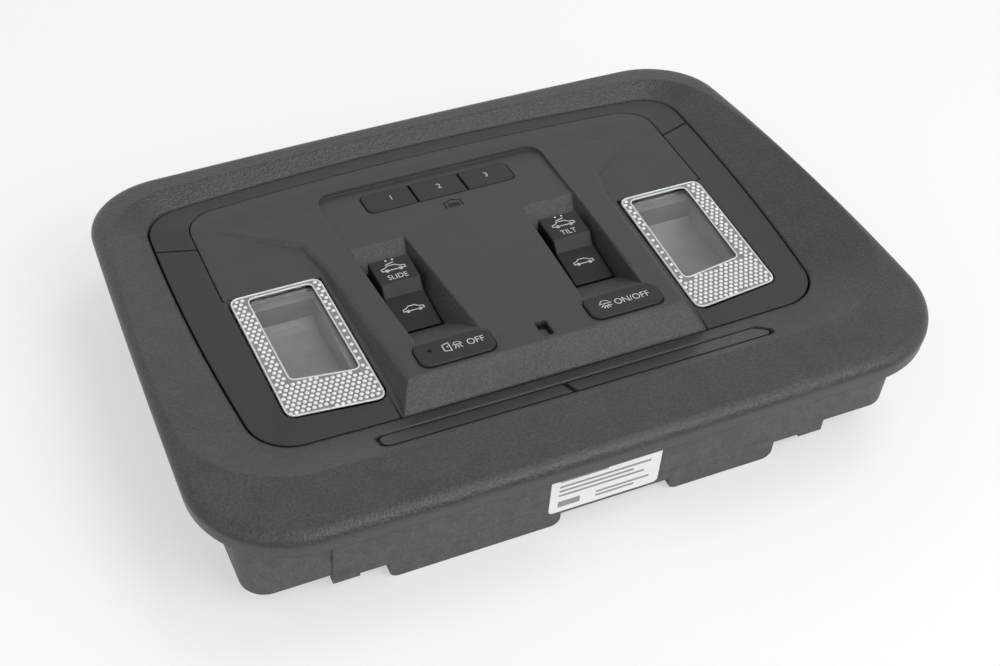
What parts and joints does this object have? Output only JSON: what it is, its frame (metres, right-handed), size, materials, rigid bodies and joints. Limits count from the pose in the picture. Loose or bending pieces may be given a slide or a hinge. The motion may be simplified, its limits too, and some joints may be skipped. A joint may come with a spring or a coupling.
{
  "type": "car overhead console",
  "caption": "Wide arched car roof console with a bowed bezel, sunken switch panel with rocker and push keys, clear map lamp lenses on both sides and a rear housing.",
  "frame": {"origin": "on the plane the rear housing's legs stand on, under the middle of the outer box", "axes": "+X along the long side, to the right seen from the front rail; +Y from the front rail to the far rail; +Z out of the face"},
  "size_m": [0.2926, 0.2196, 0.0585],
  "materials": {
    "bezel_plastic": "fine-grained moulded plastic",
    "housing_plastic": "plain moulded plastic, slightly mottled",
    "inner_plastic": "plain moulded plastic",
    "trim_plastic": "smooth matt moulded plastic",
    "key_plastic": "soft matt moulded plastic with printed marks",
    "clear_plastic": "clear moulded lens with a prism border",
    "reflector_plastic": "satin grey reflector",
    "lamp_phosphor": "yellow lamp body",
    "smoked_plastic": "smoked light guide",
    "strip_plastic": "dark satin cover",
    "board_laminate": "green solder mask",
    "switch_steel": "pressed cover",
    "plug_plastic": "plain moulded plastic",
    "contact_brass": "tinned contacts",
    "screw_steel": "zinc plated",
    "sticker_film": "plain white film"
  },
  "bodies": {
    "base": {"bezel": "bezel_plastic", "rear_housing": "housing_plastic", "back_plate": "housing_plastic", "housing_skirt": "housing_plastic", "mount_bosses": "housing_plastic", "carrier": "inner_plastic", "trim_far": "trim_plastic", "trim_left": "trim_plastic", "trim_right": "trim_plastic", "switch_panel": "trim_plastic", "lamp_box_left": "reflector_plastic", "lamp_box_right": "reflector_plastic", "lamp_leds": "lamp_phosphor", "sensor_window": "smoked_plastic", "strip_cover_left": "strip_plastic", "strip_cover_right": "strip_plastic", "circuit_board": "board_laminate", "tact_switches": "switch_steel", "connector": "plug_plastic", "connector_pins": "contact_brass", "housing_screws": "screw_steel", "board_screws": "screw_steel", "label": "sticker_film"},
    "rocker_left": {"rocker_left": "key_plastic"},
    "rocker_right": {"rocker_right": "key_plastic"},
    "home_button_1": {"home_button_1": "key_plastic"},
    "home_button_2": {"home_button_2": "key_plastic"},
    "home_button_3": {"home_button_3": "key_plastic"},
    "door_button": {"door_button": "key_plastic"},
    "dome_button": {"dome_button": "key_plastic"},
    "lens_left": {"lens_left": "clear_plastic"},
    "lens_right": {"lens_right": "clear_plastic"}
  },
  "joints": [
    {"name": "rocker_left_tilt", "type": "hinge", "parent": "base", "child": "rocker_left", "pos_m": [-0.03675, 0.004, 0.0423], "axis": [1, 0, 0], "range_deg": [-4, 4], "stiffness_Nm_per_rad": 0.8},
    {"name": "rocker_right_tilt", "type": "hinge", "parent": "base", "child": "rocker_right", "pos_m": [0.03675, 0.004, 0.0423], "axis": [1, 0, 0], "range_deg": [-4, 4], "stiffness_Nm_per_rad": 0.8},
    {"name": "home_button_1_press", "type": "slide", "parent": "base", "child": "home_button_1", "axis": [0, 0, -1], "range_m": [0, 0.001], "stiffness_N_per_m": 1500, "springref_m": -0.0003},
    {"name": "home_button_2_press", "type": "slide", "parent": "base", "child": "home_button_2", "axis": [0, 0, -1], "range_m": [0, 0.001], "stiffness_N_per_m": 1500, "springref_m": -0.0003},
    {"name": "home_button_3_press", "type": "slide", "parent": "base", "child": "home_button_3", "axis": [0, 0, -1], "range_m": [0, 0.001], "stiffness_N_per_m": 1500, "springref_m": -0.0003},
    {"name": "door_button_press", "type": "slide", "parent": "base", "child": "door_button", "axis": [0, 0, -1], "range_m": [0, 0.001], "stiffness_N_per_m": 1500, "springref_m": -0.0003},
    {"name": "dome_button_press", "type": "slide", "parent": "base", "child": "dome_button", "axis": [0, 0, -1], "range_m": [0, 0.001], "stiffness_N_per_m": 1500, "springref_m": -0.0003},
    {"name": "lens_left_press", "type": "slide", "parent": "base", "child": "lens_left", "axis": [0, 0, -1], "range_m": [0, 0.0008], "stiffness_N_per_m": 3000, "springref_m": -0.0003},
    {"name": "lens_right_press", "type": "slide", "parent": "base", "child": "lens_right", "axis": [0, 0, -1], "range_m": [0, 0.0008], "stiffness_N_per_m": 3000, "springref_m": -0.0003}
  ]
}
